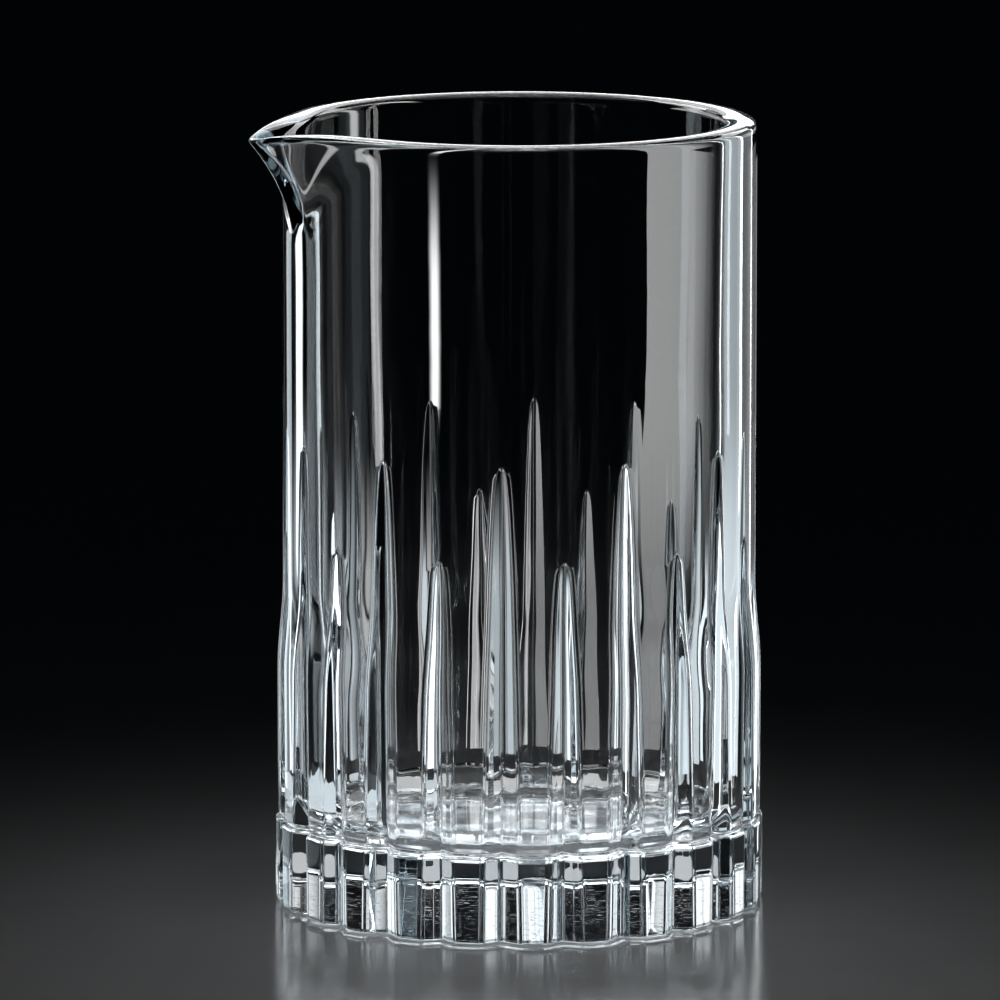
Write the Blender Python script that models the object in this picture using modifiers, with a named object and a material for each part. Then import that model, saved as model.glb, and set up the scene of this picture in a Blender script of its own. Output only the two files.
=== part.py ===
"""A mixing glass: one piece of clear moulded glass with a thick base, a spout and 24 V-shaped cuts.

The glass stands on the XY plane with its axis on Z and its spout towards -X. The wall, rim, cavity and
foot are one turned profile. The spout is pulled out of the turned wall, and lancet cutters make the cuts.
"""

import math

import bmesh
import bpy

MM = 0.001

# Overall sizes
HEIGHT = 150.0 * MM
BODY_RADIUS = 45.0 * MM  # plain wall below the rim
SKIRT_RADIUS = 46.1 * MM  # thicker wall where the cuts are
BAND_RADIUS = 46.6 * MM  # band around the foot
FLARE_TOP = 62.0 * MM  # the wall swells from the body to the skirt between these heights
FLARE_BOTTOM = 45.0 * MM
TURN_STEPS = 72

# Rim, cavity and foot
RIM_ROUND = 1.5 * MM
CAVITY_TOP_RADIUS = 39.2 * MM
CAVITY_FLOOR_RADIUS = 38.2 * MM
FLOOR_THICKNESS = 15.0 * MM
CAVITY_CORNER = 6.0 * MM
FOOT_BEVEL = 1.0 * MM

# Groove between the cut wall and the band
GROOVE_HEIGHT = 16.5 * MM
GROOVE_HALF_WIDTH = 0.6 * MM
GROOVE_DEPTH = 0.6 * MM

# Pouring spout, whose lip runs in two straight flanks from the wall to its tip
SPOUT_ANGLE = math.pi
SPOUT_REACH = 8.9 * MM  # tip beyond the outer wall
CHANNEL_REACH = 12.4 * MM  # channel beyond the cavity wall
SPOUT_DEPTH = 22.0 * MM  # below the rim, where the outer bulge has died out
CHANNEL_DEPTH = 18.0 * MM
SPOUT_FADE = 1.95  # powers of the two fades
CHANNEL_FADE = 1.8
LIP_DROOP = 2.0 * MM
RIDGE_SOFTNESS = math.radians(1.5)

# Upright cuts, alternately tall and short
CUT_COUNT = 24
TALL_TIP = 90.0 * MM
SHORT_TIP = 72.0 * MM
CUT_WIDTH = 6.1 * MM  # at CUT_WIDTH_AT below the tip
CUT_WIDTH_AT = 62.0 * MM
CUT_TAPER = 0.38  # power of the lancet outline
CUT_HALF_ANGLE = math.radians(54.0)
TIP_STATIONS = 5  # levels from a tip down to the flare
CUTTER_OVERHANG = 3.0 * MM  # how far a cutter reaches past the skin and the foot

GLASS_COLOUR = (0.93, 0.97, 0.98, 1.0)
GLASS_IOR = 1.52


def clear_scene():
    for item in list(bpy.data.objects):
        bpy.data.objects.remove(item, do_unlink=True)


def new_collection(name):
    collection = bpy.data.collections.new(name)
    bpy.context.scene.collection.children.link(collection)
    return collection


def smooth_step(t):
    t = min(max(t, 0.0), 1.0)
    return t * t * (3.0 - 2.0 * t)


def outer_radius(height):
    """Radius of the turned outside above the foot bevel: band, groove, skirt, flare and body."""
    if height <= GROOVE_HEIGHT - GROOVE_HALF_WIDTH:
        return BAND_RADIUS
    if height <= GROOVE_HEIGHT:
        share = (GROOVE_HEIGHT - height) / GROOVE_HALF_WIDTH
        return SKIRT_RADIUS - GROOVE_DEPTH + (BAND_RADIUS - SKIRT_RADIUS + GROOVE_DEPTH) * share
    if height <= GROOVE_HEIGHT + GROOVE_HALF_WIDTH:
        share = (height - GROOVE_HEIGHT) / GROOVE_HALF_WIDTH
        return SKIRT_RADIUS - GROOVE_DEPTH + GROOVE_DEPTH * share
    swell = smooth_step((FLARE_TOP - height) / (FLARE_TOP - FLARE_BOTTOM))
    return BODY_RADIUS + (SKIRT_RADIUS - BODY_RADIUS) * swell


def cavity_radius(height):
    """Radius of the cavity wall, which opens a little towards the rim."""
    share = (height - FLOOR_THICKNESS) / (HEIGHT - FLOOR_THICKNESS)
    return CAVITY_FLOOR_RADIUS + (CAVITY_TOP_RADIUS - CAVITY_FLOOR_RADIUS) * share


def arc(centre, radius, start, end, steps):
    """Points of an arc in the profile plane, with angles in degrees."""
    points = []
    for i in range(steps + 1):
        angle = math.radians(start + (end - start) * i / steps)
        points.append((centre[0] + radius * math.cos(angle), centre[1] + radius * math.sin(angle)))
    return points


def heights_below_rim():
    """Levels at which the wall near the rim is divided, so that the spout has points to bend at."""
    return [HEIGHT - SPOUT_DEPTH * (i / 7.0) ** 1.3 for i in range(1, 8)]


def flare_and_groove_heights():
    """Levels, top to bottom, at which the lower outside changes its radius."""
    heights = [FLARE_TOP + (FLARE_BOTTOM - FLARE_TOP) * i / 4 for i in range(5)]
    return heights + [GROOVE_HEIGHT + GROOVE_HALF_WIDTH * i for i in (1, 0, -1)]


def glass_profile():
    """From the middle of the cavity floor up, over the rim, down the outside and under the foot."""
    points = [(0.0, FLOOR_THICKNESS)]
    corner_height = FLOOR_THICKNESS + CAVITY_CORNER
    corner_radius = cavity_radius(corner_height)
    points += arc((corner_radius - CAVITY_CORNER, corner_height), CAVITY_CORNER, -90.0, 0.0, 4)
    points += [(cavity_radius(z), z) for z in reversed(heights_below_rim())]
    rim_height = HEIGHT - RIM_ROUND
    points += arc((CAVITY_TOP_RADIUS + RIM_ROUND, rim_height), RIM_ROUND, 180.0, 90.0, 3)
    points += arc((BODY_RADIUS - RIM_ROUND, rim_height), RIM_ROUND, 90.0, 0.0, 3)
    points += [(BODY_RADIUS, z) for z in heights_below_rim()]
    points += [(outer_radius(z), z) for z in flare_and_groove_heights()]
    points.append((BAND_RADIUS, FOOT_BEVEL))
    points.append((BAND_RADIUS - FOOT_BEVEL, 0.0))
    points.append((0.0, 0.0))
    return points


def turned_mesh(name, profile, collection):
    """Mesh made by turning a profile once around Z."""
    line = bpy.data.meshes.new(name + "_profile")
    edges = [(i, i + 1) for i in range(len(profile) - 1)]
    line.from_pydata([(r, 0.0, z) for r, z in profile], edges, [])
    guide = bpy.data.objects.new(name + "_profile", line)
    collection.objects.link(guide)
    screw = guide.modifiers.new("Turn", "SCREW")
    screw.axis = "Z"
    screw.angle = 2.0 * math.pi
    screw.steps = TURN_STEPS
    screw.render_steps = TURN_STEPS
    screw.use_merge_vertices = True
    screw.merge_threshold = 0.00001
    evaluated = guide.evaluated_get(bpy.context.evaluated_depsgraph_get())
    mesh = bpy.data.meshes.new_from_object(evaluated)
    mesh.name = name
    bpy.data.objects.remove(guide, do_unlink=True)
    bpy.data.meshes.remove(line)
    return mesh


def pulled_radius(radius, reach, angle):
    """Radius of a circle pulled out to a corner at angle 0, with straight flanks tangent to it."""
    if reach <= 0.0:
        return radius
    half_width = math.acos(radius / (radius + reach))
    offset = math.hypot(angle, RIDGE_SOFTNESS) - RIDGE_SOFTNESS
    if offset >= half_width:
        return radius
    return radius / math.cos(half_width - offset)


def fade(below, depth, power):
    return max(0.0, 1.0 - below / depth) ** power


def pull_spout(mesh):
    """Moves the points near the rim out and down to form the lip and its channel."""
    for vertex in mesh.vertices:
        x, y, z = vertex.co
        below = HEIGHT - z
        if below >= SPOUT_DEPTH:
            continue
        radius = math.hypot(x, y)
        turn = math.atan2(y, x)
        angle = math.remainder(turn - SPOUT_ANGLE, 2.0 * math.pi)
        inner = cavity_radius(z)
        through = min(max((radius - inner) / (BODY_RADIUS - inner), 0.0), 1.0)
        outer_reach = SPOUT_REACH * fade(below, SPOUT_DEPTH, SPOUT_FADE)
        inner_reach = CHANNEL_REACH * fade(below, CHANNEL_DEPTH, CHANNEL_FADE)
        outer_pull = pulled_radius(BODY_RADIUS, outer_reach, angle) - BODY_RADIUS
        inner_pull = pulled_radius(inner, inner_reach, angle) - inner
        radius += inner_pull + (outer_pull - inner_pull) * through
        lip_pull = pulled_radius(BODY_RADIUS, SPOUT_REACH, angle) - BODY_RADIUS
        z -= LIP_DROOP * lip_pull / SPOUT_REACH * fade(below, SPOUT_DEPTH, 1.0)
        vertex.co = (radius * math.cos(turn), radius * math.sin(turn), z)


def lancet_cutter(name, tip_height, angle, collection):
    """A wedge along the wall with a V section, shallow and narrow at the tip, deep at the foot."""
    shape = bmesh.new()
    stations = []
    first = flare_and_groove_heights()[0]
    tip_steps = [tip_height - (tip_height - first) * (i / TIP_STATIONS) ** 2 for i in range(TIP_STATIONS)]
    for height in tip_steps + flare_and_groove_heights() + [-CUTTER_OVERHANG]:
        half_width = 0.5 * CUT_WIDTH * ((tip_height - height) / CUT_WIDTH_AT) ** CUT_TAPER
        apex = outer_radius(height) - half_width / math.tan(CUT_HALF_ANGLE)
        outside = outer_radius(height) + CUTTER_OVERHANG
        side = (outside - apex) * math.tan(CUT_HALF_ANGLE)
        stations.append([
            shape.verts.new((apex, 0.0, height)),
            shape.verts.new((outside, side, height)),
            shape.verts.new((outside, -side, height)),
        ])
    shape.faces.new(stations[0])
    shape.faces.new(reversed(stations[-1]))
    for upper, lower in zip(stations, stations[1:]):
        for i in range(3):
            j = (i + 1) % 3
            shape.faces.new((upper[j], upper[i], lower[i], lower[j]))
    bmesh.ops.recalc_face_normals(shape, faces=shape.faces)
    mesh = bpy.data.meshes.new(name)
    shape.to_mesh(mesh)
    shape.free()
    cutter = bpy.data.objects.new(name, mesh)
    cutter.rotation_euler = (0.0, 0.0, angle)
    cutter.display_type = "WIRE"
    cutter.hide_render = True
    collection.objects.link(cutter)


def make_cutters(collection):
    """The cuts lie evenly around the glass. The spout is over the land between a tall and a short one."""
    pitch = 2.0 * math.pi / CUT_COUNT
    for i in range(CUT_COUNT):
        angle = SPOUT_ANGLE + (i + 0.5) * pitch
        tip_height = TALL_TIP if i % 2 == 0 else SHORT_TIP
        lancet_cutter(f"cut_{i + 1:02d}", tip_height, angle, collection)


def glass_material():
    material = bpy.data.materials.new("clear_glass")
    material.use_nodes = True
    shader = material.node_tree.nodes["Principled BSDF"]
    shader.inputs["Base Color"].default_value = GLASS_COLOUR
    shader.inputs["Roughness"].default_value = 0.02
    shader.inputs["Metallic"].default_value = 0.0
    shader.inputs["IOR"].default_value = GLASS_IOR
    shader.inputs["Transmission Weight"].default_value = 1.0
    return material


def make_glass(parts, cutters):
    mesh = turned_mesh("mixing_glass", glass_profile(), parts)
    pull_spout(mesh)
    mesh.shade_smooth()
    mesh.set_sharp_from_angle(angle=math.radians(30.0))
    mesh.materials.append(glass_material())
    glass = bpy.data.objects.new("mixing_glass", mesh)
    parts.objects.link(glass)
    cut = glass.modifiers.new("Cuts", "BOOLEAN")
    cut.operation = "DIFFERENCE"
    cut.solver = "EXACT"
    cut.operand_type = "COLLECTION"
    cut.collection = cutters


def main():
    clear_scene()
    parts = new_collection("mixing_glass")
    cutters = new_collection("cutters")
    make_cutters(cutters)
    make_glass(parts, cutters)


main()
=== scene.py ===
import math

import bpy
import numpy as np
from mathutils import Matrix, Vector


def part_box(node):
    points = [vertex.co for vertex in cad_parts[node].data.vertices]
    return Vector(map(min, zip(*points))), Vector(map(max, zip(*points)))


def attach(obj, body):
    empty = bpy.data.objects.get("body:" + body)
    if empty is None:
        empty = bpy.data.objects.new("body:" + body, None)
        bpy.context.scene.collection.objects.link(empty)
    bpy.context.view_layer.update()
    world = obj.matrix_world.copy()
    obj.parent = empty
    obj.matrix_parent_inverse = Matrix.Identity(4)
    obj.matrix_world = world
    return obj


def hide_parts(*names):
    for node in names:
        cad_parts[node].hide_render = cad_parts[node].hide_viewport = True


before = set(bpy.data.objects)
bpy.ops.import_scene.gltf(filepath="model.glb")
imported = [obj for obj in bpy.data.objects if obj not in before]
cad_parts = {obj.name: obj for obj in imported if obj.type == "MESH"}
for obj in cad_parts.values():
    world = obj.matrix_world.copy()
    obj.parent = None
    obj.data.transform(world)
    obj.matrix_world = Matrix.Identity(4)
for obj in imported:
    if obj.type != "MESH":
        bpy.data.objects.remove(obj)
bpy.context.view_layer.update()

# A mixing glass of clear moulded glass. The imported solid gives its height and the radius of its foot, and
# the other sizes repeat the solid's own, but the spout's channel is a little narrower than the solid's and
# its lip droops closer to the tip. Here the glass is one closed mesh, fine enough for refraction. Its rings
# run up the outside, over the rim and down the cavity, and its columns follow the cuts.

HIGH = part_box("mixing_glass")[1]
MM = 0.001

# Overall sizes
HEIGHT = HIGH.z
BAND_RADIUS = HIGH.x
SKIRT_STEP = 0.5 * MM
BODY_STEP = 1.6 * MM
SKIRT_RADIUS = BAND_RADIUS - SKIRT_STEP  # cut wall just above the groove
BODY_RADIUS = BAND_RADIUS - BODY_STEP  # plain wall below the rim
FLARE_TOP = 62.0 * MM
FLARE_BOTTOM = 45.0 * MM

# Rim, cavity and foot
CAVITY_TOP_RADIUS = 39.2 * MM
CAVITY_FLOOR_RADIUS = 38.2 * MM
FLOOR_THICKNESS = 15.0 * MM
CAVITY_CORNER = 6.0 * MM
FOOT_ROUND = 1.0 * MM
RIM_CROWN = 1.6 * MM
RIM_SQUARENESS = 2.6  # 2 is an ellipse, more is squarer

# Faint waves in the cavity wall
RIPPLE = 0.02 * MM
RIPPLE_HEIGHT = 11.0 * MM
RIPPLE_START = 30.0 * MM  # distance below the rim over which they build up
SLOW_WAVES = 3.0
SLOW_SWAY = 2.0
QUICK_WAVES = 7.0
QUICK_SHARE = 0.6
QUICK_TURN = 1.3

# Groove between the cut wall and the band
GROOVE_HEIGHT = 16.5 * MM
GROOVE_DEPTH = 0.6 * MM
GROOVE_WIDTH = 0.45 * MM

# Pouring spout
SPOUT_ANGLE = math.pi
SPOUT_REACH = 8.9 * MM
CHANNEL_REACH = 12.4 * MM
SPOUT_DEPTH = 22.0 * MM
CHANNEL_DEPTH = 18.0 * MM
SPOUT_FADE = 1.95
CHANNEL_FADE = 1.8
CHANNEL_HOLLOW = 1.6  # 1 keeps the channel's flanks straight, more narrows it
LIP_DROOP = 2.0 * MM
RIDGE_SOFTNESS = math.radians(1.5)

# Upright cuts, alternately tall and short
CUT_COUNT = 24
PITCH = 2.0 * math.pi / CUT_COUNT
TALL_TIP = 90.0 * MM
SHORT_TIP = 72.0 * MM
CUT_WIDTH = 6.1 * MM
CUT_WIDTH_AT = 62.0 * MM  # distance below its tip at which a cut is that wide
CUT_TAPER = 0.38
CUT_SLOPE = 1.0 / math.tan(math.radians(54.0))
VALLEY_SOFTNESS = 0.15 * MM
SHOULDER = 0.2  # rounded part of a cut's edge, as a share of its half width
SHARPEST = 0.12 * MM
FADE_ABOVE_TIP = 0.3

# Columns of the mesh over half a cut and half the land beside it
VALLEY_STEPS = (0.12, 0.3)  # millimetres, or shares of the half width where that is under 1 mm
FACE_SHARES = (0.55, 0.8, 0.93, 1.07, 1.2)
LAND_COLUMNS = 6
COLUMN_BLEND = 12.0 * MM  # height over which the columns spread out evenly, above the tall cuts
NARROWEST = 0.75 * MM  # half width that the mesh keeps at a cut's tip

# Rings of the mesh
UNDERSIDE_SHARES = (0.15, 0.35, 0.55, 0.75, 0.9, 1.0)
FOOT_STEPS = 6
SPOUT_RINGS = 18
SPOUT_RING_POWER = 1.25
RIM_STEPS = 16
CAVITY_RINGS = 18
BELOW_SPOUT = 6.0 * MM
CORNER_STEPS = 10
FLOOR_SHARES = (0.85, 0.65, 0.45, 0.25, 0.1)

# Camera
CAMERA_AZIMUTH = math.radians(-18.3)
CAMERA_DISTANCE = 1.7746
CAMERA_HEIGHT = 0.36726
CAMERA_PITCH = math.radians(9.297)
CAMERA_YAW = math.radians(0.118)
CAMERA_LENS = 340.0

# Glass. Noise scales are per metre
GLASS_IOR = 1.52
GLASS_TINT = (0.80, 0.93, 1.0, 1.0)
TINT_DENSITY = 6.0
HANDLING_HAZE = 0.012
HAZE_SCALE = 45.0
HAZE_RANGE = (0.52, 0.75)
FOOT_WEAR = 0.25
WEAR_HEIGHT = 0.8 * MM
SCUFF_SCALE = 900.0
SCUFF_RANGE = (0.45, 0.7)
POLISH_WAVE = 0.003 * MM
POLISH_SCALE = 160.0

# Floor
FLOOR_HALF = 3.0
FLOOR_LEVEL = -0.2 * MM
FLOOR_DARK = (0.70, 0.71, 0.72, 1.0)
FLOOR_LIGHT = (0.80, 0.805, 0.81, 1.0)
CLOUD_SCALE = 9.0
GRAIN_SCALE = 60.0
GRAIN_RANGE = (0.3, 0.7)
FLOOR_ROUGHNESS = (0.12, 0.18)

# Light. Azimuth 0 points at the camera, 90 to its right and 180 behind the glass
WHITE = (1.0, 1.0, 1.0)
COOL = (0.86, 0.95, 1.0)
ICE = (0.85, 0.94, 1.0)
BACKDROP = (0.0015, 0.002, 0.0025, 1.0)
VIEW_GAMMA = 0.86
UPRIGHT_DISTANCE = 0.13
SOFTBOX_DISTANCE = 0.6
SOFTBOX_MIDDLE = 0.13
ON_FLOOR = 0.0006
SPOT_SCALE = 130.0
SPOT_RANGE = (0.42, 0.72)
SPOT_STRENGTH = (0.35, 3.0)
SOFT_SIDES = (0.2, 0.2, 0.0, 0.0)
SOFT_SIDES_AND_TOP = (0.2, 0.2, 0.0, 0.5)

# Upright softboxes close round the glass: name, first and last azimuth, lowest and highest point in metres,
# radiance, the shares of the left, right, bottom and top edges that fade, and colour
BACK_UPRIGHTS = (
    ("band_high", 141.0, 163.8, 0.03, 0.128, 0.42, (0.5, 0.0, 0.5, 0.0), WHITE),
    ("band_low", 154.0, 163.8, 0.002, 0.08, 0.27, (0.3, 0.0, 0.0, 0.6), WHITE),
    ("tube_150", 148.5, 151.5, 0.002, 0.075, 0.7, SOFT_SIDES_AND_TOP, COOL),
    ("tube_144", 142.5, 145.5, 0.002, 0.055, 1.6, SOFT_SIDES_AND_TOP, COOL),
    ("strip_left", -170.6, -168.8, 0.002, 0.128, 1.3, (0.4, 0.4, 0.0, 0.25), WHITE),
    ("tube_201", -160.5, -157.5, 0.002, 0.068, 0.5, SOFT_SIDES_AND_TOP, WHITE),
    ("tube_204", -157.5, -154.5, 0.002, 0.068, 0.55, SOFT_SIDES_AND_TOP, WHITE),
    ("tube_207", -154.5, -151.5, 0.002, 0.068, 0.85, SOFT_SIDES_AND_TOP, COOL),
    ("tube_213", -150.5, -145.5, 0.002, 0.072, 0.6, SOFT_SIDES_AND_TOP, COOL),
    ("edge_left", -137.0, -126.0, 0.002, 0.22, 1.9, SOFT_SIDES, COOL),
    ("side_left", -142.0, -118.0, 0.002, 0.085, 0.5, SOFT_SIDES_AND_TOP, COOL),
    ("edge_right", 113.0, 136.0, 0.002, 0.22, 0.55, (0.1, 0.2, 0.0, 0.0), COOL),
    ("side_right", 112.0, 140.0, 0.002, 0.085, 0.42, SOFT_SIDES_AND_TOP, COOL),
    ("strip_far", -161.6, -159.6, 0.002, 0.14, 0.5, (0.3, 0.3, 0.0, 0.0), WHITE),
)

# Softboxes farther off, turned to the glass: name, azimuth, elevation, width and height, radiance
RIM_SOFTBOXES = (
    ("rim_flat", 180.0, 12.0, (0.40, 0.08), 3.6),
    ("rim_low", 180.0, 23.0, (0.30, 0.14), 2.0),
    ("rim_high", 180.0, 35.0, (0.30, 0.18), 1.6),
    ("rim_steep", 180.0, 55.0, (0.30, 0.2), 1.0),
    ("rim_top", 180.0, 75.0, (0.30, 0.12), 2.0),
    ("lip_back", 140.0, 25.0, (0.4, 0.16), 3.6),
    ("spout_back", 210.0, 25.0, (0.2, 0.16), 1.5),
    ("spout_side", 235.0, 25.0, (0.2, 0.16), 4.2),
    ("spout_high", 212.0, 40.0, (0.3, 0.22), 6.0),
)

# Softboxes behind the foot, by azimuth
FOOT_SOFTBOXES = (("foot_right", 146.0), ("foot_left", 213.0))
FOOT_BOX_HEIGHT = 0.125
FOOT_BOX_SIZE = (0.38, 0.08)
FOOT_BOX_RADIANCE = 0.9

# Glowing cards that lie just over the floor, behind the foot and beside the spout
FOOT_CARDS = (("glow_right", 148.0), ("glow_left", 213.0))
FOOT_CARD_DISTANCE = 0.057
FOOT_CARD_SIZE = (0.024, 0.019)
FOOT_CARD_RADIANCE = 0.6
SPOUT_CARD_AZIMUTH = 250.0
SPOUT_CARD_DISTANCE = 0.10
SPOUT_CARD_SIZE = (0.08, 0.08)
SPOUT_CARD_RADIANCE = 0.8

# A glowing disc between the foot and the floor
UNDER_LEVEL = -0.0001
UNDER_SIZE = (0.07, 0.07)
UNDER_RADIANCE = 0.38

# A narrow strip close to the right edge, as the camera sees it
NEAR_ASIDE = 0.0632
NEAR_BEHIND = 0.029
NEAR_HEIGHT = 0.11
NEAR_SIZE = (0.005, 0.216)
NEAR_RADIANCE = 4.0

# A softbox overhead, and a gridded one that lights the floor in a pool
OVERHEAD_HEIGHT = 0.75
OVERHEAD_SIZE = (0.7, 0.7)
OVERHEAD_RADIANCE = 0.6
POOL_HEIGHT = 0.8
POOL_FORWARD = 0.12
POOL_SIZE = (0.2, 0.2)
POOL_RADIANCE = 9.0
POOL_SPREAD = 32.0


def smooth_step(t):
    t = np.clip(t, 0.0, 1.0)
    return t * t * (3.0 - 2.0 * t)


def outer_radius(height):
    """Radius of the outside before it is cut: body, flare, skirt, groove and band."""
    swell = smooth_step((FLARE_TOP - height) / (FLARE_TOP - FLARE_BOTTOM))
    radius = BODY_RADIUS + (SKIRT_RADIUS - BODY_RADIUS) * swell
    step = smooth_step((GROOVE_HEIGHT - height) / GROOVE_WIDTH)
    radius += (BAND_RADIUS - SKIRT_RADIUS) * step
    return radius - GROOVE_DEPTH * np.exp(-((height - GROOVE_HEIGHT) / GROOVE_WIDTH) ** 2)


def cavity_ripple(angles, height):
    """The cavity was shaped by a plunger, which leaves faint, slow waves in its wall."""
    climb = height / RIPPLE_HEIGHT
    slow = np.sin(SLOW_WAVES * angles + SLOW_SWAY * math.sin(climb))
    quick = np.sin(QUICK_WAVES * angles - climb + QUICK_TURN)
    return RIPPLE * (slow + QUICK_SHARE * quick)


def cavity_radius(height):
    share = (height - FLOOR_THICKNESS) / (HEIGHT - FLOOR_THICKNESS)
    return CAVITY_FLOOR_RADIUS + (CAVITY_TOP_RADIUS - CAVITY_FLOOR_RADIUS) * share


def half_width(tip, height):
    """Half the width of a cut at a height. Above its tip it is negative."""
    below = tip - height
    if below <= 0.0:
        return FADE_ABOVE_TIP * below
    return 0.5 * CUT_WIDTH * (below / CUT_WIDTH_AT) ** CUT_TAPER


# ---------------------------------------------------------------- columns of the mesh

def half_pitch_offsets(edge):
    """Offsets from a cut's middle to the land's middle, closest together at the valley and the shoulder."""
    edge = max(edge, NARROWEST)
    land = SKIRT_RADIUS * PITCH / 2
    valley = [0.0] + [min(step * MM, step * edge) for step in VALLEY_STEPS]
    face = [share * edge for share in FACE_SHARES]
    return valley + face + list(np.linspace(face[-1], land, LAND_COLUMNS)[1:])


def column_angles(height):
    """Angle of each column at a height: along the cuts' valleys and edges, and evenly spread above them."""
    spread = smooth_step((height - TALL_TIP) / COLUMN_BLEND)
    angles = []
    for cut in range(CUT_COUNT):
        centre = SPOUT_ANGLE + (cut + 0.5) * PITCH
        tip = TALL_TIP if cut % 2 == 0 else SHORT_TIP
        aligned = np.array(half_pitch_offsets(half_width(tip, height))) / SKIRT_RADIUS
        even = np.linspace(0.0, PITCH / 2, len(aligned))
        offsets = aligned + (even - aligned) * spread
        angles += list(centre - offsets[::-1][:-1]) + list(centre + offsets[:-1])
    return np.array(angles)


def cut_depth(angles, height):
    """Depth of the V cuts below the outer radius at each angle."""
    place = (angles - SPOUT_ANGLE) / PITCH - 0.5
    nearest = np.round(place)
    across = (place - nearest) * PITCH * SKIRT_RADIUS
    tips = np.where(nearest.astype(int) % 2 == 0, TALL_TIP, SHORT_TIP)
    edge = np.where(tips == TALL_TIP, half_width(TALL_TIP, height), half_width(SHORT_TIP, height))
    inside = edge - np.hypot(across, VALLEY_SOFTNESS) + VALLEY_SOFTNESS
    shoulder = np.maximum(SHOULDER * edge, SHARPEST)
    rounded = (np.clip(inside + shoulder, 0.0, None)) ** 2 / (4.0 * shoulder)
    return CUT_SLOPE * np.where(inside > shoulder, inside, rounded)


# ---------------------------------------------------------------- spout

def pulled_radius(radius, reach, angles):
    """A circle pulled out to a corner at the spout, with straight flanks that leave it as tangents."""
    if reach <= 0.0:
        return np.full_like(angles, radius)
    half = math.acos(radius / (radius + reach))
    offset = np.remainder(angles - SPOUT_ANGLE + math.pi, 2.0 * math.pi) - math.pi
    offset = np.hypot(offset, RIDGE_SOFTNESS) - RIDGE_SOFTNESS
    return radius / np.cos(np.maximum(half - offset, 0.0))


def fade(below, depth, power):
    """How much of a pull is left at a distance below the rim: all of it at the rim, none at its depth."""
    return max(0.0, 1.0 - below / depth) ** power


def pull_spout(angles, radius, height):
    """Radius and height of a ring near the rim once the spout is pulled.

    The outside follows the spout, the cavity wall follows the narrower channel, and the glass between
    them goes from one to the other."""
    below = max(HEIGHT - height, 0.0)
    if below >= SPOUT_DEPTH:
        return radius, np.full_like(angles, height)
    inner = cavity_radius(height)
    through = np.clip((radius - inner) / (BODY_RADIUS - inner), 0.0, 1.0)
    reach = SPOUT_REACH * fade(below, SPOUT_DEPTH, SPOUT_FADE)
    outer_pull = pulled_radius(BODY_RADIUS, reach, angles) - BODY_RADIUS
    channel = CHANNEL_REACH * fade(below, CHANNEL_DEPTH, CHANNEL_FADE)
    inner_pull = pulled_radius(inner, channel, angles) - inner
    if channel > 0.0:
        inner_pull = channel * (inner_pull / channel) ** CHANNEL_HOLLOW
    lip_pull = pulled_radius(BODY_RADIUS, SPOUT_REACH, angles) - BODY_RADIUS
    droop = LIP_DROOP * (lip_pull / SPOUT_REACH) ** 2 * fade(below, SPOUT_DEPTH, 1.0)
    return radius + inner_pull + (outer_pull - inner_pull) * through, height - droop


# ---------------------------------------------------------------- rings of the mesh

def ring(angles, radius, height):
    heights = np.broadcast_to(height, angles.shape)
    return np.stack([radius * np.cos(angles), radius * np.sin(angles), heights], 1)


def foot_rings():
    """The flat underside, whose outline follows the cuts, and the rounded edge of the foot."""
    angles = column_angles(0.0)
    depth = cut_depth(angles, 0.0)
    contact = BAND_RADIUS - FOOT_ROUND
    rings = []
    for share in UNDERSIDE_SHARES:
        rings.append(ring(angles, contact * share - depth * share ** 4, 0.0))
    for step in range(1, FOOT_STEPS + 1):
        turn = math.radians(-90.0 + 90.0 / FOOT_STEPS * step)
        height = FOOT_ROUND * (1.0 + math.sin(turn))
        radius = contact + FOOT_ROUND * math.cos(turn)
        rings.append(ring(angles, radius - depth, height))
    return rings


def wall_heights():
    """Heights of the rings up the outside, closest at the groove and at the tips of the cuts."""
    beside_groove = (0.1, 0.2, 0.35, 0.5, 0.7, 0.9)
    heights = [2, 4, 7, 10, 13, 14.6, 15.3]
    heights += [GROOVE_HEIGHT / MM - d for d in reversed(beside_groove)]
    heights += [GROOVE_HEIGHT / MM]
    heights += [GROOVE_HEIGHT / MM + d for d in beside_groove]
    heights += [18, 20, 23, 27, 31, 35, 39, 43]
    heights += list(range(45, 62, 2))
    below_tip = (9.0, 7.0, 5.3, 3.9, 2.8, 1.9, 1.2, 0.7, 0.35, 0.1, -0.2, -0.7)
    heights += [SHORT_TIP / MM - s for s in below_tip]
    heights += [74.5, 77.5]
    heights += [TALL_TIP / MM - s for s in below_tip]
    heights += [92, 94.5, 97, 99.5, 102, 105, 110, 116, 122]
    return [h * MM for h in heights]


def spout_heights():
    """Heights of the rings beside the spout, closer together towards the rim."""
    depth = SPOUT_DEPTH - RIM_CROWN
    steps = range(SPOUT_RINGS, 0, -1)
    return [HEIGHT - RIM_CROWN - depth * (step / SPOUT_RINGS) ** SPOUT_RING_POWER for step in steps]


def wall_rings():
    rings = []
    for height in wall_heights() + spout_heights():
        angles = column_angles(height)
        radius, lifted = pull_spout(angles, outer_radius(height) - cut_depth(angles, height), height)
        rings.append(ring(angles, radius, lifted))
    return rings


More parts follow.
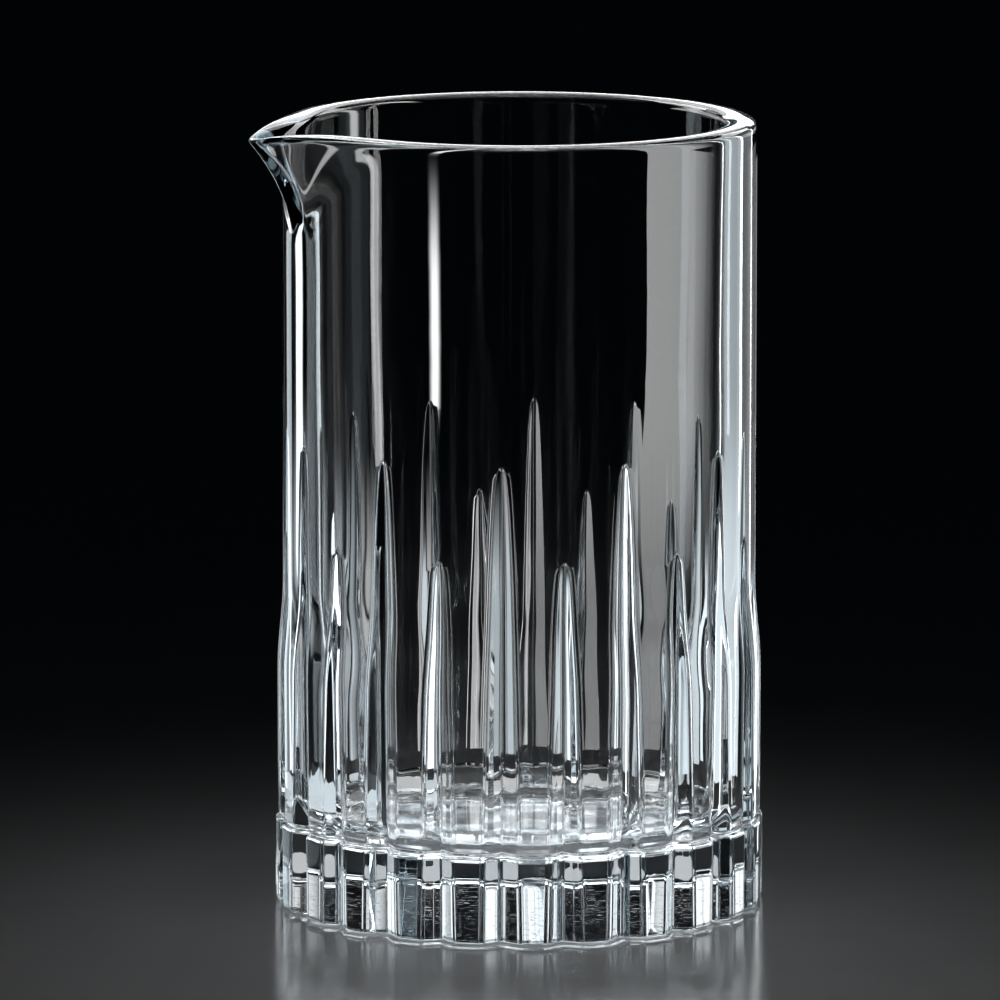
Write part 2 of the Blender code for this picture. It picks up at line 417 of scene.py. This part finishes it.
def rim_rings():
    """The rounded top of the wall, from the outside over to the cavity."""
    angles = column_angles(HEIGHT)
    base = HEIGHT - RIM_CROWN
    inner = cavity_radius(base)
    middle = (BODY_RADIUS + inner) / 2
    half = (BODY_RADIUS - inner) / 2
    rings = []
    for step in range(RIM_STEPS + 1):
        turn = math.pi * step / RIM_STEPS
        across = math.copysign(abs(math.cos(turn)) ** (2.0 / RIM_SQUARENESS), math.cos(turn))
        up = max(math.sin(turn), 0.0) ** (2.0 / RIM_SQUARENESS)
        radius, height = pull_spout(angles, middle + half * across, base + RIM_CROWN * up)
        rings.append(ring(angles, radius, height))
    return rings


def cavity_rings():
    """Down the cavity wall, round its corner and in over its floor."""
    angles = column_angles(HEIGHT)
    corner = FLOOR_THICKNESS + CAVITY_CORNER
    heights = spout_heights()[::-1]
    heights += list(np.linspace(HEIGHT - SPOUT_DEPTH - BELOW_SPOUT, corner, CAVITY_RINGS))
    rings = []
    for height in heights:
        radius, lifted = pull_spout(angles, cavity_radius(height), height)
        ripple = cavity_ripple(angles, height) * smooth_step((HEIGHT - height) / RIPPLE_START)
        rings.append(ring(angles, radius + ripple, lifted))
    middle = cavity_radius(corner) - CAVITY_CORNER
    for step in range(1, CORNER_STEPS + 1):
        turn = math.radians(90.0 / CORNER_STEPS * step)
        ripple = cavity_ripple(angles, corner) * math.cos(turn)
        radius = middle + CAVITY_CORNER * math.cos(turn) + ripple
        rings.append(ring(angles, radius, corner - CAVITY_CORNER * math.sin(turn)))
    for share in FLOOR_SHARES:
        rings.append(ring(angles, middle * share, FLOOR_THICKNESS))
    return rings


def slope_along(points, axis):
    """Tangent of a grid of points along one of its axes, by differences weighted for uneven spacing."""
    before = points - np.roll(points, 1, axis)
    after = np.roll(points, -1, axis) - points
    near = np.linalg.norm(before, axis=2, keepdims=True) + 1e-9
    far = np.linalg.norm(after, axis=2, keepdims=True) + 1e-9
    return before / near * (far / (near + far)) + after / far * (near / (near + far))


def grid_normals(rings):
    """Smooth normals from the neighbouring rings and columns, so that refraction shows no facets."""
    grid = np.array(rings)
    padded = np.concatenate([2 * grid[:1] - grid[1:2], grid, 2 * grid[-1:] - grid[-2:-1]])
    normals = np.cross(slope_along(grid, 1), slope_along(padded, 0)[1:-1])
    return (normals / np.linalg.norm(normals, axis=2, keepdims=True)).reshape(-1, 3)


def glass_mesh():
    """The whole glass: rings joined by quads, closed by a point in the foot and one in the cavity floor."""
    rings = foot_rings() + wall_rings() + rim_rings() + cavity_rings()
    columns = len(rings[0])
    points = np.concatenate(rings + [np.array([[0.0, 0.0, 0.0], [0.0, 0.0, FLOOR_THICKNESS]])])
    foot_centre = len(rings) * columns
    faces = []
    for row in range(len(rings) - 1):
        low = row * columns
        for i in range(columns):
            j = (i + 1) % columns
            faces.append((low + i, low + j, low + columns + j, low + columns + i))
    last = (len(rings) - 1) * columns
    for i in range(columns):
        j = (i + 1) % columns
        faces.append((foot_centre, j, i))
        faces.append((last + i, last + j, foot_centre + 1))
    mesh = bpy.data.meshes.new("mixing_glass_body")
    mesh.from_pydata(points.tolist(), [], faces)
    mesh.validate()
    mesh.shade_smooth()
    normals = np.concatenate([grid_normals(rings), np.array([[0.0, 0.0, -1.0], [0.0, 0.0, 1.0]])])
    mesh.normals_split_custom_set_from_vertices(normals.tolist())
    return mesh


# ---------------------------------------------------------------- materials

def noise(nodes, links, place, scale, detail):
    """Noise texture over a place that is given in metres."""
    texture = nodes.new("ShaderNodeTexNoise")
    texture.inputs["Scale"].default_value = scale
    texture.inputs["Detail"].default_value = detail
    links.new(place, texture.inputs["Vector"])
    return texture.outputs["Fac"]


def remap(nodes, links, value, low, high, first, last):
    """Maps a value from low..high to first..last and holds it there outside."""
    ramp = nodes.new("ShaderNodeMapRange")
    ramp.interpolation_type = "SMOOTHSTEP"
    for name, number in (("From Min", low), ("From Max", high), ("To Min", first), ("To Max", last)):
        ramp.inputs[name].default_value = number
    links.new(value, ramp.inputs["Value"])
    return ramp.outputs["Result"]


def math_node(nodes, links, operation, first, second):
    node = nodes.new("ShaderNodeMath")
    node.operation = operation
    links.new(first, node.inputs[0])
    links.new(second, node.inputs[1])
    return node.outputs["Value"]


def glass_material():
    """Clear glass: polished, hazed by handling in faint patches, and worn where the foot rubs."""
    material = bpy.data.materials.new("clear_glass")
    material.use_nodes = True
    nodes = material.node_tree.nodes
    links = material.node_tree.links
    shader = nodes["Principled BSDF"]
    shader.inputs["Base Color"].default_value = (1.0, 1.0, 1.0, 1.0)
    shader.inputs["IOR"].default_value = GLASS_IOR
    shader.inputs["Transmission Weight"].default_value = 1.0

    place = nodes.new("ShaderNodeTexCoord").outputs["Object"]
    split = nodes.new("ShaderNodeSeparateXYZ")
    links.new(place, split.inputs["Vector"])
    patches = noise(nodes, links, place, HAZE_SCALE, 4.0)
    haze = remap(nodes, links, patches, *HAZE_RANGE, 0.0, HANDLING_HAZE)
    scratches = noise(nodes, links, place, SCUFF_SCALE, 3.0)
    scuffs = remap(nodes, links, scratches, *SCUFF_RANGE, 0.0, FOOT_WEAR)
    near_foot = remap(nodes, links, split.outputs["Z"], 0.0, WEAR_HEIGHT, 1.0, 0.0)
    wear = math_node(nodes, links, "MULTIPLY", scuffs, near_foot)
    links.new(math_node(nodes, links, "ADD", haze, wear), shader.inputs["Roughness"])

    bump = nodes.new("ShaderNodeBump")
    bump.inputs["Distance"].default_value = POLISH_WAVE
    bump.inputs["Strength"].default_value = 1.0
    links.new(noise(nodes, links, place, POLISH_SCALE, 1.0), bump.inputs["Height"])
    links.new(bump.outputs["Normal"], shader.inputs["Normal"])

    absorb = nodes.new("ShaderNodeVolumeAbsorption")
    absorb.inputs["Color"].default_value = GLASS_TINT
    absorb.inputs["Density"].default_value = TINT_DENSITY
    links.new(absorb.outputs["Volume"], nodes["Material Output"].inputs["Volume"])
    return material


def floor_material():
    """Pale, softly polished stone-like surface with a faint cloud and fine grain."""
    material = bpy.data.materials.new("pale_floor")
    material.use_nodes = True
    nodes = material.node_tree.nodes
    links = material.node_tree.links
    shader = nodes["Principled BSDF"]
    place = nodes.new("ShaderNodeTexCoord").outputs["Object"]
    shade = nodes.new("ShaderNodeValToRGB")
    shade.color_ramp.elements[0].color = FLOOR_DARK
    shade.color_ramp.elements[1].color = FLOOR_LIGHT
    links.new(noise(nodes, links, place, CLOUD_SCALE, 3.0), shade.inputs["Fac"])
    links.new(shade.outputs["Color"], shader.inputs["Base Color"])
    grain = noise(nodes, links, place, GRAIN_SCALE, 2.0)
    links.new(remap(nodes, links, grain, *GRAIN_RANGE, *FLOOR_ROUGHNESS), shader.inputs["Roughness"])
    return material


# ---------------------------------------------------------------- stage

def make_floor():
    mesh = bpy.data.meshes.new("floor")
    signs = ((-1, -1), (1, -1), (1, 1), (-1, 1))
    corners = [(x * FLOOR_HALF, y * FLOOR_HALF, FLOOR_LEVEL) for x, y in signs]
    mesh.from_pydata(corners, [], [(0, 1, 2, 3)])
    floor = bpy.data.objects.new("floor", mesh)
    floor.data.materials.append(floor_material())
    bpy.context.scene.collection.objects.link(floor)


def towards(azimuth, elevation=0.0):
    """A direction away from the axis of the glass, by azimuth and elevation in degrees."""
    turn = CAMERA_AZIMUTH + math.radians(azimuth)
    lift = math.radians(elevation)
    return Vector((math.sin(turn) * math.cos(lift), -math.cos(turn) * math.cos(lift), math.sin(lift)))


def fade_edges(data, left, right, bottom, top):
    """Fades a softbox out towards its edges, over these shares of its width and height."""
    data.use_nodes = True
    nodes = data.node_tree.nodes
    links = data.node_tree.links
    place = nodes.new("ShaderNodeNewGeometry")
    split = nodes.new("ShaderNodeSeparateXYZ")
    links.new(place.outputs["Parametric"], split.inputs["Vector"])
    product = None
    for axis, share, start in (("X", left, 0.0), ("X", right, 1.0), ("Y", bottom, 0.0), ("Y", top, 1.0)):
        if share <= 0.0:
            continue
        ramp = nodes.new("ShaderNodeMapRange")
        ramp.interpolation_type = "SMOOTHSTEP"
        ramp.inputs["From Min"].default_value = start
        ramp.inputs["From Max"].default_value = start + share if start == 0.0 else start - share
        links.new(split.outputs[axis], ramp.inputs["Value"])
        if product is None:
            product = ramp.outputs["Result"]
            continue
        multiply = nodes.new("ShaderNodeMath")
        multiply.operation = "MULTIPLY"
        links.new(product, multiply.inputs[0])
        links.new(ramp.outputs["Result"], multiply.inputs[1])
        product = multiply.outputs["Value"]
    links.new(product, nodes["Emission"].inputs["Strength"])


def speckle(data):
    """Breaks a light up into bright spots, like the light that cut glass throws on the table under it."""
    data.use_nodes = True
    nodes = data.node_tree.nodes
    links = data.node_tree.links
    place = nodes.new("ShaderNodeNewGeometry").outputs["Position"]
    grains = noise(nodes, links, place, SPOT_SCALE, 2.0)
    spots = remap(nodes, links, grains, *SPOT_RANGE, *SPOT_STRENGTH)
    links.new(spots, nodes["Emission"].inputs["Strength"])


def area_light(name, place, away, size, radiance, spread=180.0, edges=None, colour=WHITE, glass=None):
    """A rectangular softbox that faces against away, as bright as radiance straight ahead.

    A spread below 180 stands for a grid. The edges are fade_edges' shares. A light that is given the
    glass's collection lights nothing else."""
    half = math.radians(spread) / 2
    grid = 1.0 if spread >= 180.0 else 1.0 - half / math.tan(half)
    data = bpy.data.lights.new(name, "AREA")
    data.shape = "RECTANGLE"
    data.size, data.size_y = size
    data.spread = math.radians(spread)
    data.energy = radiance * math.pi * size[0] * size[1] * grid
    data.color = colour
    if edges:
        fade_edges(data, *edges)
    lamp = bpy.data.objects.new(name, data)
    lamp.location = place
    lamp.rotation_euler = away.to_track_quat("Z", "Y").to_euler()
    lamp.visible_camera = False
    lamp.light_linking.receiver_collection = glass
    bpy.context.scene.collection.objects.link(lamp)
    return lamp


def upright(name, first, last, low, high, radiance, edges, colour, glass):
    """An upright softbox from one azimuth to another, close to the glass."""
    away = towards((first + last) / 2)
    width = 2.0 * UPRIGHT_DISTANCE * math.tan(math.radians(abs(last - first)) / 2)
    place = away * UPRIGHT_DISTANCE + Vector((0.0, 0.0, (low + high) / 2))
    return area_light(name, place, away, (width, high - low), radiance, 180.0, edges, colour, glass)


def light_base(glass, up):
    """Softboxes and cards that the foot, the cavity floor and the spout pick up."""
    for name, azimuth in FOOT_SOFTBOXES:
        away = towards(azimuth)
        place = away * SOFTBOX_DISTANCE + up * FOOT_BOX_HEIGHT
        area_light(name, place, away, FOOT_BOX_SIZE, FOOT_BOX_RADIANCE, edges=SOFT_SIDES, glass=glass)
    spout = towards(SPOUT_CARD_AZIMUTH) * SPOUT_CARD_DISTANCE + up * ON_FLOOR
    area_light("glow_spout", spout, -up, SPOUT_CARD_SIZE, SPOUT_CARD_RADIANCE, colour=COOL, glass=glass)
    for name, azimuth in FOOT_CARDS:
        away = towards(azimuth)
        place = away * FOOT_CARD_DISTANCE + up * ON_FLOOR
        card = area_light(name, place, away, FOOT_CARD_SIZE, FOOT_CARD_RADIANCE, glass=glass)
        card.rotation_euler = (math.pi, 0.0, CAMERA_AZIMUTH + math.radians(azimuth))
    place = up * UNDER_LEVEL
    under = area_light("glow_under", place, -up, UNDER_SIZE, UNDER_RADIANCE, colour=ICE, glass=glass)
    under.data.shape = "DISK"
    speckle(under.data)


def make_lights(piece):
    """Dark-field light: softboxes that light only the glass, and one light for a pool on the floor."""
    glass = bpy.data.collections.new("lit_glass")
    glass.objects.link(piece)
    up = Vector((0.0, 0.0, 1.0))
    for row in BACK_UPRIGHTS:
        upright(*row, glass)
    near = towards(90.0) * NEAR_ASIDE + towards(180.0) * NEAR_BEHIND + up * NEAR_HEIGHT
    area_light("near_right", near, towards(90.0), NEAR_SIZE, NEAR_RADIANCE, glass=glass)
    for name, azimuth, elevation, size, radiance in RIM_SOFTBOXES:
        away = towards(azimuth, elevation)
        place = away * SOFTBOX_DISTANCE + up * SOFTBOX_MIDDLE
        area_light(name, place, away, size, radiance, glass=glass)
    light_base(glass, up)
    area_light("overhead", up * OVERHEAD_HEIGHT, up, OVERHEAD_SIZE, OVERHEAD_RADIANCE, glass=glass)
    pool = up * POOL_HEIGHT + towards(0.0) * POOL_FORWARD
    area_light("floor_pool", pool, up, POOL_SIZE, POOL_RADIANCE, POOL_SPREAD)

    world = bpy.data.worlds.new("studio")
    world.use_nodes = True
    world.node_tree.nodes["Background"].inputs["Color"].default_value = BACKDROP
    bpy.context.scene.world = world


def make_camera():
    data = bpy.data.cameras.new("camera")
    data.lens = CAMERA_LENS
    data.sensor_width = 36.0
    camera = bpy.data.objects.new("camera", data)
    turn = CAMERA_AZIMUTH
    camera.location = (math.sin(turn) * CAMERA_DISTANCE, -math.cos(turn) * CAMERA_DISTANCE, CAMERA_HEIGHT)
    camera.rotation_euler = (math.pi / 2 - CAMERA_PITCH, 0.0, turn + CAMERA_YAW)
    bpy.context.scene.collection.objects.link(camera)
    bpy.context.scene.camera = camera


glass = bpy.data.objects.new("mixing_glass_body", glass_mesh())
glass.data.materials.append(glass_material())
bpy.context.scene.collection.objects.link(glass)
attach(glass, "root")
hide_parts("mixing_glass")

make_floor()
make_lights(glass)
make_camera()

scene = bpy.context.scene
scene.view_settings.view_transform = "Standard"
scene.view_settings.gamma = VIEW_GAMMA
scene.cycles.max_bounces = 24
scene.cycles.transmission_bounces = 24
scene.cycles.glossy_bounces = 12
scene.cycles.transparent_max_bounces = 24
